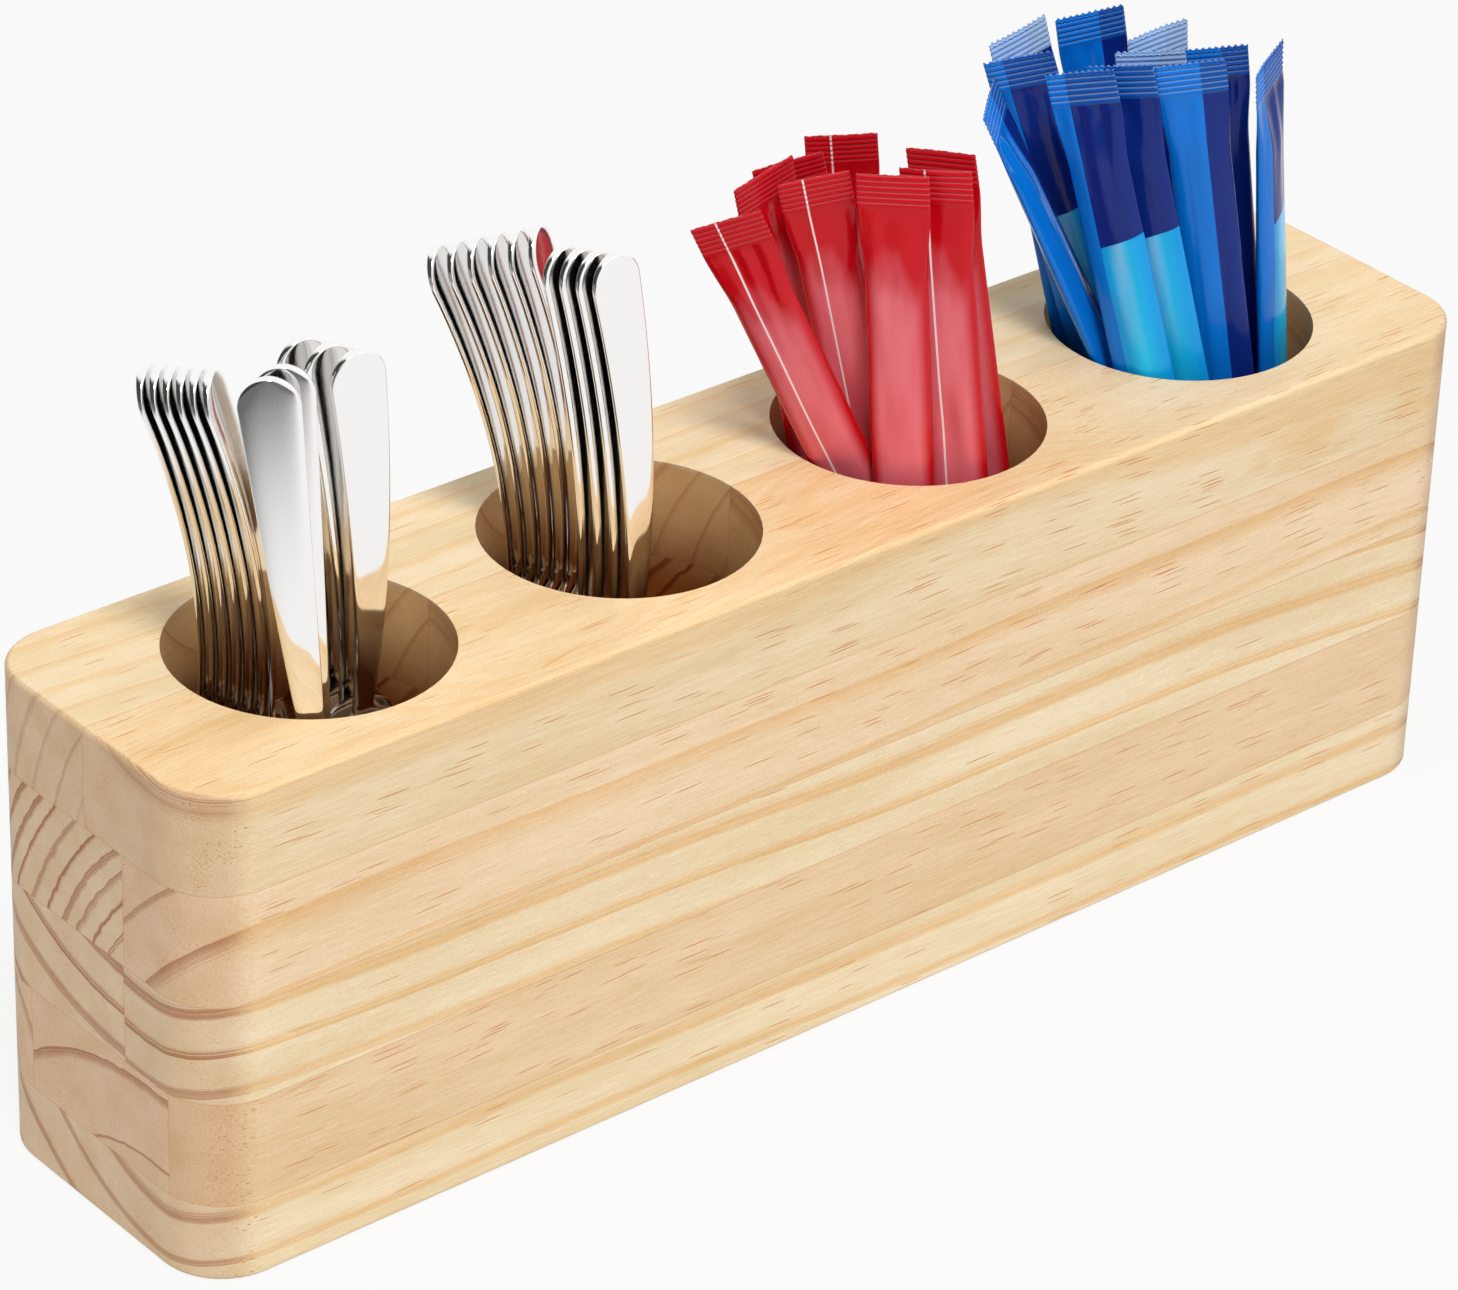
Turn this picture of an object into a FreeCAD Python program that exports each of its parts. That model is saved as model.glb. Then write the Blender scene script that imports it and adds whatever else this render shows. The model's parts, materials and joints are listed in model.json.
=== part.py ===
import FreeCAD, Part

# Cutlery dispenser: a block of laminated pine with four round wells in its top, holding
# coffee spoons and stick sachets. Millimetres, +Z up, +X along the block, -Y is the front.
# The origin is the middle of the underside.

import math
import os

import Sketcher

os.makedirs("parts", exist_ok=True)
doc = FreeCAD.newDocument("CutleryDispenser")

SIZES = (
    ("block_length", 349, "length of the block"),
    ("block_width", 77, "width of the block"),
    ("top_course_height", 23, "height of the top course of staves"),
    ("second_course_height", 26, "height of the second course of staves"),
    ("third_course_height", 23, "height of the third course of staves"),
    ("fourth_course_height", 24.5, "height of the fourth course of staves"),
    ("base_height", 18.5, "height of the base board"),
    ("corner_radius", 15, "radius of the upright corners"),
    ("edge_softening", 1.2, "rounding of the top and bottom edges"),
    ("well_bore", 60, "diameter of a well"),
    ("well_depth", 49, "depth of a well"),
    ("well_pitch", 80, "distance between neighbouring wells"),
    ("row_right", 0.8, "how far the row of wells sits to the right of the block's middle"),
    ("row_back", 1.2, "how far the row of wells sits behind the block's middle"),
    ("top_joint", 39.5, "front face to the glue joint of the top course"),
    ("second_joint", 26.7, "front face to the glue joint of the second course"),
    ("third_joint", 27, "front face to the glue joint of the third course"),
    ("fourth_front_joint", 12.6, "front face to the first glue joint of the fourth course"),
    ("fourth_back_joint", 60.4, "front face to the second glue joint of the fourth course"),
    ("standing_gap", 0.3, "clearance under a spoon or sachet that stands in a well"),
    ("spoon_length", 128, "overall length of a coffee spoon"),
    ("bowl_length", 38, "length of a spoon's bowl"),
    ("bowl_width", 24, "width of a spoon's bowl"),
    ("bowl_depth", 5, "depth of a spoon's bowl over its back"),
    ("bowl_wall", 0.9, "thickness of the steel in the bowl"),
    ("neck_width", 4.6, "width of the handle where it leaves the bowl"),
    ("neck_overlap", 2, "length of the handle that runs into the bowl"),
    ("handle_end_radius", 6.2, "radius of the rounded end of the handle"),
    ("handle_thickness", 1.8, "thickness of the handle"),
    ("handle_bend", 260, "radius of the handle's gentle bend"),
    ("sachet_length", 122, "length of a stick sachet"),
    ("sachet_width", 15.4, "width of a flat sachet seal"),
    ("sachet_fill", 5.6, "thickness of a filled sachet"),
    ("sachet_fill_width", 13.4, "width of a filled sachet"),
    ("seal_length", 8, "length of a crimped seal"),
    ("seal_thickness", 0.9, "thickness of a crimped seal"),
    ("shoulder_length", 16, "length over which a sachet swells from its seal"),
)

WELL_COUNT = 4
WELL_RADIUS = "Sizes.well_bore / 2"
FIRST_WELL_X = f"Sizes.row_right - {WELL_COUNT - 1} * Sizes.well_pitch / 2"

# Courses from the bottom up: name, and each stave with the two joints, measured from the
# front face, that it lies between. The height of a course is the size of the same name.
COURSES = (
    ("base",
     (("board", "0", "Sizes.block_width"),)),
    ("fourth_course",
     (("front_strip", "0", "Sizes.fourth_front_joint"),
      ("middle_stave", "Sizes.fourth_front_joint", "Sizes.fourth_back_joint"),
      ("back_strip", "Sizes.fourth_back_joint", "Sizes.block_width"))),
    ("third_course",
     (("front_stave", "0", "Sizes.third_joint"),
      ("back_stave", "Sizes.third_joint", "Sizes.block_width"))),
    ("second_course",
     (("front_stave", "0", "Sizes.second_joint"),
      ("back_stave", "Sizes.second_joint", "Sizes.block_width"))),
    ("top_course",
     (("front_stave", "0", "Sizes.top_joint"),
      ("back_stave", "Sizes.top_joint", "Sizes.block_width"))),
)
COURSE_HEIGHTS = [f"Sizes.{course}_height" for course, staves in COURSES]
BLOCK_HEIGHT = "(" + " + ".join(COURSE_HEIGHTS) + ")"

# Nests of spoons that stand bowl in bowl: the well, how many spoons, their turn in degrees
# and, for the first and the last spoon, where it stands and where it passes the rim. Both
# places are (to the right, to the back) from the well's middle, as shares of its radius.
NESTS = (
    (1, 3, -5, ((0.36, -0.16), (0.15, -0.39)), ((0.46, 0.16), (0.15, -0.04))),
    (1, 2, -35, ((-0.29, -0.68), (-0.52, -0.71)), ((-0.20, -0.56), (-0.40, -0.61))),
    (1, 6, 40, ((-0.01, 0.18), (-0.42, -0.03)), ((-0.15, 0.75), (-0.61, 0.46))),
    (2, 4, 5, ((-0.14, -0.50), (-0.36, -0.58)), ((-0.30, -0.18), (-0.53, -0.27))),
    (2, 6, 35, ((0.08, 0.26), (-0.27, 0.15)), ((-0.03, 0.76), (-0.58, 0.59))),
)

# Stick sachets: name, well, turn, where it stands and where it passes the rim, as above.
SACHETS = (
    ("red_sachet_1", 3, -45, (-0.04, -0.28), (-0.83, -0.16)),
    ("red_sachet_2", 3, -5, (-0.08, 0.56), (-0.62, 0.38)),
    ("red_sachet_3", 3, -30, (0.34, 0.62), (-0.25, 0.46)),
    ("red_sachet_4", 3, -35, (0.04, 0.06), (-0.46, -0.03)),
    ("red_sachet_5", 3, -40, (0.41, 0.80), (0.01, 0.57)),
    ("red_sachet_6", 3, -50, (-0.34, -0.52), (-0.54, -0.56)),
    ("red_sachet_7", 3, -55, (0.09, -0.69), (-0.16, -0.70)),
    ("red_sachet_8", 3, -60, (0.67, -0.34), (0.30, -0.38)),
    ("blue_sachet_1", 4, 40, (-0.10, -0.27), (-0.80, 0.03)),
    ("blue_sachet_2", 4, -5, (-0.13, 0.48), (-0.54, 0.59)),
    ("blue_sachet_3", 4, -30, (0.48, 0.76), (0.08, 0.72)),
    ("blue_sachet_4", 4, -10, (0.25, 0.22), (0.00, 0.16)),
    ("blue_sachet_5", 4, -45, (-0.07, 0.20), (-0.60, 0.33)),
    ("blue_sachet_6", 4, -55, (-0.45, -0.68), (-0.78, -0.42)),
    ("blue_sachet_7", 4, -60, (-0.15, -0.68), (-0.48, -0.46)),
    ("blue_sachet_8", 4, -50, (0.30, -0.17), (-0.07, -0.14)),
    ("blue_sachet_9", 4, -40, (0.21, -0.61), (-0.10, -0.55)),
    ("blue_sachet_10", 4, -40, (0.69, -0.12), (0.33, -0.20)),
    ("blue_sachet_11", 4, 25, (0.70, -0.45), (0.40, -0.57)),
)


def add_sizes():
    """Put every driving size in the spreadsheet, one row each."""
    sheet = doc.addObject("Spreadsheet::Sheet", "Sizes")
    for row, (alias, value, meaning) in enumerate(SIZES, start=1):
        sheet.set(f"A{row}", meaning)
        sheet.set(f"B{row}", str(value))
        sheet.setAlias(f"B{row}", alias)
    doc.recompute()


def bind(thing, expressions):
    """Bind properties of one object to expressions of the spreadsheet's cells."""
    for name, expression in expressions.items():
        thing.setExpression(name, expression)


def origin_feature(body, role):
    """One of the planes or axes of the body's own origin."""
    return next(feature for feature in body.Origin.OriginFeatures if feature.Role == role)


def add_fillet(body, name, base, picks, radius):
    """Round the named edges or faces of the feature before it."""
    rounding = body.newObject("PartDesign::Fillet", name)
    rounding.Base = (base, picks)
    rounding.setExpression("Radius", radius)
    doc.recompute()
    return rounding


def rounded_blank(body):
    """The block before it is bored, with its upright corners and its flat edges rounded."""
    blank = body.newObject("PartDesign::AdditiveBox", "blank")
    bind(blank, {
        "Length": "Sizes.block_length",
        "Width": "Sizes.block_width",
        "Height": BLOCK_HEIGHT,
        "Placement.Base.x": "-Sizes.block_length / 2",
        "Placement.Base.y": "-Sizes.block_width / 2",
    })
    doc.recompute()
    uprights = [f"Edge{number}" for number, edge in enumerate(blank.Shape.Edges, start=1)
                if abs(edge.tangentAt(edge.FirstParameter).z) > 0.99]
    corners = add_fillet(body, "corners", blank, uprights, "Sizes.corner_radius")
    flats = [f"Face{number}" for number, face in enumerate(corners.Shape.Faces, start=1)
             if abs(face.normalAt(0, 0).z) > 0.99]
    return add_fillet(body, "softened_edges", corners, flats, "Sizes.edge_softening")


def well_circle(body):
    """The outline of the first well, on the top of the block."""
    circle = body.newObject("Sketcher::SketchObject", "well_circle")
    circle.AttachmentSupport = (origin_feature(body, "XY_Plane"), "")
    circle.MapMode = "FlatFace"
    bind(circle, {
        "AttachmentOffset.Base.x": FIRST_WELL_X,
        "AttachmentOffset.Base.y": "Sizes.row_back",
        "AttachmentOffset.Base.z": BLOCK_HEIGHT,
    })
    rim = circle.addGeometry(Part.Circle(FreeCAD.Vector(), FreeCAD.Vector(0, 0, 1), 1))
    circle.addConstraint(Sketcher.Constraint("Coincident", rim, 3, -1, 1))
    bore = circle.addConstraint(Sketcher.Constraint("Diameter", rim, 2))
    circle.renameConstraint(bore, "bore")
    circle.setExpression("Constraints.bore", "Sizes.well_bore")
    return circle


def glued_block():
    """The whole glued block, bored with its row of wells."""
    body = doc.addObject("PartDesign::Body", "glued_block")
    blank = rounded_blank(body)
    well = body.newObject("PartDesign::Pocket", "first_well")
    well.Profile = well_circle(body)
    well.setExpression("Length", "Sizes.well_depth")
    doc.recompute()
    if well.Shape.Volume >= blank.Shape.Volume:
        raise RuntimeError("the first well cut nothing")
    wells = body.newObject("PartDesign::LinearPattern", "wells")
    wells.Originals = [well]
    wells.Direction = (origin_feature(body, "X_Axis"), [""])
    wells.Occurrences = WELL_COUNT
    wells.setExpression("Length", f"{WELL_COUNT - 1} * Sizes.well_pitch")
    body.Tip = wells
    doc.recompute()
    return body


def stave(label, course, front_joint, back_joint, block):
    """One stave: the part of the finished block between two joints of its course."""
    board = doc.addObject("Part::Box", label + "_board")
    bind(board, {
        "Length": "Sizes.block_length",
        "Width": f"{back_joint} - {front_joint}",
        "Height": COURSE_HEIGHTS[course],
        "Placement.Base.x": "-Sizes.block_length / 2",
        "Placement.Base.y": f"{front_joint} - Sizes.block_width / 2",
        "Placement.Base.z": " + ".join(["0", *COURSE_HEIGHTS[:course]]),
    })
    piece = doc.addObject("Part::Common", label)
    piece.Base = board
    piece.Tool = block
    return piece


def ellipsoid(name, shrink):
    """An ellipsoid the size of the bowl, made smaller all round by an expression."""
    solid = doc.addObject("Part::Ellipsoid", name)
    bind(solid, {
        "Radius1": f"Sizes.bowl_length / 2 - {shrink}",
        "Radius2": f"Sizes.bowl_width / 2 - {shrink}",
        "Radius3": f"Sizes.bowl_depth - {shrink}",
        "Placement.Base.z": "Sizes.bowl_length / 2",
    })
    return solid


def spoon_bowl():
    """The dished bowl: half an ellipsoid's shell, its hollow facing -Y."""
    shell = doc.addObject("Part::Cut", "bowl_shell")
    shell.Base = ellipsoid("bowl_outside", "0")
    shell.Tool = ellipsoid("bowl_inside", "Sizes.bowl_wall")
    back_half = doc.addObject("Part::Box", "bowl_back_half")
    bind(back_half, {
        "Length": "Sizes.bowl_width",
        "Width": "Sizes.bowl_depth",
        "Height": "Sizes.bowl_length",
        "Placement.Base.x": "-Sizes.bowl_width / 2",
    })
    bowl = doc.addObject("Part::Common", "bowl")
    bowl.Base = shell
    bowl.Tool = back_half
    return bowl


def handle_outline():
    """The handle seen from the front: it widens from the neck to its round end."""
    sketch = doc.addObject("Sketcher::SketchObject", "handle_outline")
    sketch.Placement = FreeCAD.Placement(
        FreeCAD.Vector(), FreeCAD.Rotation(FreeCAD.Vector(1, 0, 0), 90))
    neck, shoulder = 2.0, 6.0
    low, high = 30.0, 120.0
    corners = [FreeCAD.Vector(x, y, 0) for x, y in
               ((-neck, low), (-shoulder, high), (shoulder, high), (neck, low))]
    left = sketch.addGeometry(Part.LineSegment(corners[0], corners[1]))
    end = sketch.addGeometry(Part.ArcOfCircle(
        Part.Circle(FreeCAD.Vector(0, high, 0), FreeCAD.Vector(0, 0, 1), shoulder),
        0, math.pi))
    right = sketch.addGeometry(Part.LineSegment(corners[2], corners[3]))
    foot = sketch.addGeometry(Part.LineSegment(corners[3], corners[0]))
    start_point, end_point, centre = 1, 2, 3
    origin, vertical_axis = -1, -2
    for constraint in (
            Sketcher.Constraint("Tangent", left, end_point, end, end_point),
            Sketcher.Constraint("Tangent", end, start_point, right, start_point),
            Sketcher.Constraint("Coincident", right, end_point, foot, start_point),
            Sketcher.Constraint("Coincident", foot, end_point, left, start_point),
            Sketcher.Constraint("Symmetric", foot, start_point, foot, end_point,
                                vertical_axis),
            Sketcher.Constraint("PointOnObject", end, centre, vertical_axis)):
        sketch.addConstraint(constraint)
    for name, expression, constraint in (
            ("end_radius", "Sizes.handle_end_radius",
             Sketcher.Constraint("Radius", end, shoulder)),
            ("end_height", "Sizes.spoon_length - Sizes.handle_end_radius",
             Sketcher.Constraint("DistanceY", origin, 1, end, centre, high)),
            ("foot_height", "Sizes.bowl_length - Sizes.neck_overlap",
             Sketcher.Constraint("DistanceY", origin, 1, foot, end_point, low)),
            ("neck_width", "Sizes.neck_width",
             Sketcher.Constraint("DistanceX", foot, end_point, foot, start_point,
                                 2 * neck))):
        sketch.renameConstraint(sketch.addConstraint(constraint), name)
        sketch.setExpression("Constraints." + name, expression)
    doc.recompute()
    return sketch


def bend_cylinder(name, offset):
    """A cylinder along X whose front side follows the bend of the handle."""
    half_span = "(Sizes.spoon_length - Sizes.bowl_length) / 2"
    cylinder = doc.addObject("Part::Cylinder", name)
    cylinder.Placement.Rotation = FreeCAD.Rotation(FreeCAD.Vector(0, 1, 0), 90)
    bind(cylinder, {
        "Radius": f"Sizes.handle_bend + {offset}",
        "Height": "4 * Sizes.handle_end_radius",
        "Placement.Base.x": "-2 * Sizes.handle_end_radius",
        "Placement.Base.y": f"sqrt(Sizes.handle_bend ^ 2 - ({half_span}) ^ 2)",
        "Placement.Base.z": "(Sizes.spoon_length + Sizes.bowl_length) / 2",
    })
    return cylinder


def spoon_handle():
    """The handle: its outline, cut out of a curved strip of steel."""
    slab = doc.addObject("Part::Extrusion", "handle_slab")
    slab.Base = handle_outline()
    slab.DirMode = "Normal"
    slab.Solid = True
    slab.Symmetric = True
    slab.setExpression("LengthFwd", "4 * Sizes.handle_end_radius")
    strip = doc.addObject("Part::Cut", "handle_strip")
    strip.Base = bend_cylinder("bend_front", "Sizes.handle_thickness / 2")
    strip.Tool = bend_cylinder("bend_back", "-Sizes.handle_thickness / 2")
    handle = doc.addObject("Part::Common", "handle")
    handle.Base = slab
    handle.Tool = strip
    return handle


def spoon_pattern():
    """A coffee spoon that stands on its bowl's tip at the origin and faces -Y."""
    pattern = doc.addObject("Part::Fuse", "spoon_pattern")
    pattern.Base = spoon_bowl()
    pattern.Tool = spoon_handle()
    doc.recompute()
    return pattern


def sachet_pattern():
    """A stick sachet that stands on its seal at the origin, its flat side facing -Y."""
    seal = ("Sizes.sachet_width / 2", "Sizes.seal_thickness / 2")
    filled = ("Sizes.sachet_fill_width / 2", "Sizes.sachet_fill / 2")
    swell = "Sizes.seal_length + Sizes.shoulder_length"
    stations = (
        ("0", seal),
        ("Sizes.seal_length", seal),
        (swell, filled),
        (f"Sizes.sachet_length - ({swell})", filled),
        ("Sizes.sachet_length - Sizes.seal_length", seal),
        ("Sizes.sachet_length", seal),
    )
    sections = []
    for number, (height, (half_width, half_thickness)) in enumerate(stations, start=1):
        section = doc.addObject("Part::Ellipse", f"sachet_section_{number}")
        bind(section, {
            "MajorRadius": half_width,
            "MinorRadius": half_thickness,
            "Placement.Base.z": height,
        })
        sections.append(section)
    pattern = doc.addObject("Part::Loft", "sachet_pattern")
    pattern.Sections = sections
    pattern.Solid = True
    pattern.Ruled = True
    doc.recompute()
    return pattern


def copy_of(pattern, label):
    """A body of its own with the pattern's shape."""
    body = doc.addObject("PartDesign::Body", label)
    shape = doc.addObject("PartDesign::FeatureBase", label + "_shape")
    body.Group = [shape]
    shape.BaseFeature = pattern
    body.Tip = shape
    return body


def stand(thing, foot_form, well, turn, foot, rim):
    """Stand a thing on the floor of a well so that its axis passes the rim where it should.

    foot and rim are shares of the well's radius, as in the tables. foot_form holds the half
    axes, across, back and up, of the ellipsoid that the thing's foot is the end of.
    """
    for name, kind, value in (
            ("Turn", "App::PropertyAngle", turn),
            ("Foot", "App::PropertyVector", FreeCAD.Vector(*foot, 0)),
            ("Rim", "App::PropertyVector", FreeCAD.Vector(*rim, 0)),
            ("SideLean", "App::PropertyAngle", 0),
            ("FrontLean", "App::PropertyAngle", 0)):
        thing.addProperty(kind, name, "Standing")
        setattr(thing, name, value)
    run_right = f"(Rim.x - Foot.x) * {WELL_RADIUS}"
    run_back = f"(Rim.y - Foot.y) * {WELL_RADIUS}"
    sideways = f"({run_right} * cos(Turn) + {run_back} * sin(Turn))"
    forwards = f"({run_right} * sin(Turn) - {run_back} * cos(Turn))"
    across, back, up = (f"({half_axis})" for half_axis in foot_form)
    reach = (f"hypot({across} * sin(SideLean); {back} * cos(SideLean) * sin(FrontLean);"
             f" {up} * cos(SideLean) * cos(FrontLean))")
    right = f"{FIRST_WELL_X} + {well - 1} * Sizes.well_pitch + Foot.x * {WELL_RADIUS}"
    behind = f"Sizes.row_back + Foot.y * {WELL_RADIUS}"
    height = (f"{BLOCK_HEIGHT} - Sizes.well_depth + Sizes.standing_gap + {reach}"
              f" - {up} * cos(SideLean) * cos(FrontLean)")
    bind(thing, {
        "SideLean": f"atan2({sideways}; Sizes.well_depth)",
        "FrontLean": f"atan2({forwards}; hypot(Sizes.well_depth; {sideways}))",
        "Placement": f"placement(vector({right}; {behind}; {height});"
                     " rotation(Turn; SideLean; FrontLean))",
    })
    return thing


def between(first, last, share):
    """The place that lies a share of the way from the first place to the last."""
    return tuple(start + share * (end - start) for start, end in zip(first, last))


def stand_spoons(pattern):
    """Stand every nest of spoons in its well."""
    foot_form = ("Sizes.bowl_width / 2", "Sizes.bowl_depth", "Sizes.bowl_length / 2")
    spoons = []
    counts = dict.fromkeys(range(1, WELL_COUNT + 1), 0)
    for well, count, turn, first, last in NESTS:
        for place in range(count):
            foot, rim = (between(low, high, place / (count - 1))
                         for low, high in zip(first, last))
            counts[well] += 1
            spoon = copy_of(pattern, f"well_{well}_spoon_{counts[well]}")
            spoons.append(stand(spoon, foot_form, well, turn, foot, rim))
    return spoons


def stand_sachets(pattern):
    """Stand every sachet in its well."""
    foot_form = ("Sizes.sachet_width / 2", "Sizes.seal_thickness / 2", "0")
    return [stand(copy_of(pattern, label), foot_form, well, turn, foot, rim)
            for label, well, turn, foot, rim in SACHETS]


def check_model(pieces):
    """Stop before anything is written if an object failed or a piece has no sound shape."""
    for thing in doc.Objects:
        if {"Invalid", "Error"} & set(thing.State):
            raise RuntimeError(f"{thing.Label} failed: {thing.State}")
    for piece in pieces:
        if piece.Shape.isNull() or not piece.Shape.isValid():
            raise RuntimeError(f"{piece.Label} has no valid shape")


add_sizes()
block = glued_block()
pieces = [stave(f"{course}_{name}", number, front_joint, back_joint, block)
          for number, (course, staves) in enumerate(COURSES)
          for name, front_joint, back_joint in staves]
pieces += stand_spoons(spoon_pattern())
pieces += stand_sachets(sachet_pattern())
doc.recompute()
check_model(pieces)
for piece in pieces:
    piece.Shape.exportStep(f"parts/{piece.Label}.step")
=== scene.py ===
"""Looks of a cutlery dispenser: a laminated pine block whose four wells hold spoons and sachets.

Lengths are metres in Blender's scene. A spoon, a sachet and the grain of the wood are worked
out in millimetres, and MM turns them into metres.
"""
import json
import math
from collections import namedtuple

import bpy
import numpy as np
from bpy.props import (BoolProperty, FloatProperty, FloatVectorProperty, IntProperty,
                       PointerProperty)
from mathutils import Matrix, Vector


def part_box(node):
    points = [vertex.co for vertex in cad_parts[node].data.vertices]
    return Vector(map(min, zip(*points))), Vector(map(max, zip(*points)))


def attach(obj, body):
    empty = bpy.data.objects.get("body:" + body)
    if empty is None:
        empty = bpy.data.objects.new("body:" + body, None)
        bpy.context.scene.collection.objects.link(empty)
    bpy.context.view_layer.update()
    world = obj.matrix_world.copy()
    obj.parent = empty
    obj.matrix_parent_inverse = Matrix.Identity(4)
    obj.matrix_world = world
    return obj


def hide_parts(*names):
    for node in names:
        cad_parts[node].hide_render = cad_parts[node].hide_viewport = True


bl_info = {
    "name": "Cutlery dispenser",
    "version": (1, 0, 0),
    "blender": (4, 5, 0),
    "location": "3D View > Sidebar > Dispenser",
    "description": "Finishes a pine cutlery dispenser and fills it with spoons and sachets",
    "category": "Object",
}

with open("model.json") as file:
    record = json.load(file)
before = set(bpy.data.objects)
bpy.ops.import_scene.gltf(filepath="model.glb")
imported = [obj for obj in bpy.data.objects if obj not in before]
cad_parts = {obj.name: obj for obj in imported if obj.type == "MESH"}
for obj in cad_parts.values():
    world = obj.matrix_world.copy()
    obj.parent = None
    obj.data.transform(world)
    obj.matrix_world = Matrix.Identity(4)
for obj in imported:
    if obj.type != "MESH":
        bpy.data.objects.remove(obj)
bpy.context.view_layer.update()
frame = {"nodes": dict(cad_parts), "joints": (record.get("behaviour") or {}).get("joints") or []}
MM = 0.001
BLOCK_LOW, BLOCK_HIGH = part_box("base_board")[0] / MM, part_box("top_course_back_stave")[1] / MM
LIFTS = {joint["child"]: Vector(joint["axis"]).normalized() for joint in frame["joints"]}
SPOONS = sorted(name for name in LIFTS if "spoon" in name)
RED_SACHETS = sorted(name for name in LIFTS if name.startswith("red"))
BLUE_SACHETS = sorted(name for name in LIFTS if name.startswith("blue"))

# The row of wells: the first well's middle (right, back), their count, pitch and radius.
WELL_ROW, WELL_COUNT, WELL_PITCH, WELL_RADIUS = (-0.1192, 0.0012), 4, 0.080, 0.030

# How the rings of a stave run, in millimetres: the pith lies at (back, up) and may be outside
# the stave, one ring ends at the radius given and the others follow every spacing. A ring is an
# ellipse when squash isn't 1. Over the block's length it sinks by sink, sways slowly by sway
# and trembles by tremble. tone is the colour of its early wood, share how much of a ring is
# late wood, late how deep its colour is and dashes the share of the resin ducts that show.
Grain = namedtuple("Grain", "pith radius spacing squash sink sway tremble tone share late dashes")
GRAINS = {
    "base_board": Grain((-25, 60), 48.7, 10.5, 1.0, 4, 3.5, 0.4, "cream", 0.22, 0.75, 0.2),
    "fourth_course_front_strip": Grain(
        (-90, 95), 78, 60, 1.0, 2, 4.0, 0.4, "tan", 0.5, 0.2, 0.55),
    "fourth_course_middle_stave": Grain(
        (-18, -2), 43.3, 17.8, 0.75, 2, 2.5, 0.9, "rosy", 0.06, 1.0, 0.1),
    "fourth_course_back_strip": Grain(
        (60, 10), 44, 11, 1.0, 2, 3.0, 0.7, "rosy", 0.14, 0.7, 0.2),
    "third_course_front_stave": Grain(
        (-16, 115), 60, 9.2, 1.0, 15, 4.5, 0.5, "cream", 0.30, 0.85, 0.05),
    "third_course_back_stave": Grain(
        (-14, 115.5), 60, 9.2, 1.0, 15, 4.5, 0.5, "cream", 0.30, 0.85, 0.05),
    "second_course_front_stave": Grain(
        (-90, 10), 91.8, 13, 1.0, -2, 3.5, 0.4, "rosy", 0.14, 0.75, 0.5),
    "second_course_back_stave": Grain(
        (-64, 31), 83, 4.9, 1.0, 2, 2.0, 1.3, "cream", 0.30, 1.0, 0.1),
    "top_course_front_stave": Grain(
        (-20, 200), 95, 26, 1.0, 8, 9.0, 0.4, "golden", 0.40, 0.55, 0.5),
    "top_course_back_stave": Grain(
        (-62, 67), 92.5, 7.5, 1.0, 3, 6.0, 0.5, "golden", 0.22, 0.5, 0.2),
}

# Stains of a stave, in millimetres: their middles (right, back, up), half their sizes, how much
# they rise towards the back for each millimetre to the right, and how deep they are.
Stain = namedtuple("Stain", "middle size slant depth")
STAINS = {"top_course_front_stave": (
    Stain((-82, -33.5, 115), (21, 0.9, 3), 0.19, 0.9),
    Stain((123, -38, 102), (19, 9, 11), 0.0, 0.5),
    Stain((161, -38, 98), (15, 9, 8), 0.0, 0.45))}

# Where the film laps over itself, as a share of a sachet's half width, and the white of the
# line that is printed there on the red ones.
RED_SEAM, BLUE_SEAM = -0.28, 0.25
LINE_WHITE = (0.85, 0.75, 0.75)

# Sachets whose printed line or panel faces the front, and those with a paler seal.
LINED = {"red_sachet_1", "red_sachet_4", "red_sachet_5", "red_sachet_7"}
PANEL_FRONT = {"blue_sachet_5", "blue_sachet_6", "blue_sachet_7", "blue_sachet_11"}
PALE_SEALED = {"blue_sachet_2", "blue_sachet_4", "blue_sachet_8"}

# The camera: where it stands, in metres, and how it is turned, in degrees.
CAMERA_PLACE = (-0.7541, -0.8654, 0.7430)
CAMERA_AZIMUTH, CAMERA_FALL, CAMERA_ROLL = 40.73, 30.27, 2.03

# The lamps: where each stands and its width in metres. Both look at the target.
KEY_LAMP, FILL_LAMP = ((-0.92, -1.45, 2.88), 0.7), ((1.3, -1.0, 1.9), 1.0)
LAMP_TARGET = (0, 0, 0.08)

# Half the floor's width in metres, and how much of it the camera sees as plain white.
FLOOR_HALF, FLOOR_WHITENESS = 6, 0.85
# What gloss reflects: a dark left, up to a place, and a bright right, from a place onwards.
STUDIO_LEFT, STUDIO_RIGHT = (0.06, -0.50), (1.12, -0.20)


def colour(name, default, description):
    """A colour that a user can change."""
    return FloatVectorProperty(name=name, description=description, default=default,
                               subtype="COLOR", size=3, min=0.0, max=1.0)


def length(name, default, description):
    """A length in metres that a user can change."""
    return FloatProperty(name=name, description=description, default=default, min=0.0,
                         subtype="DISTANCE", unit="LENGTH", precision=5)


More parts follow.
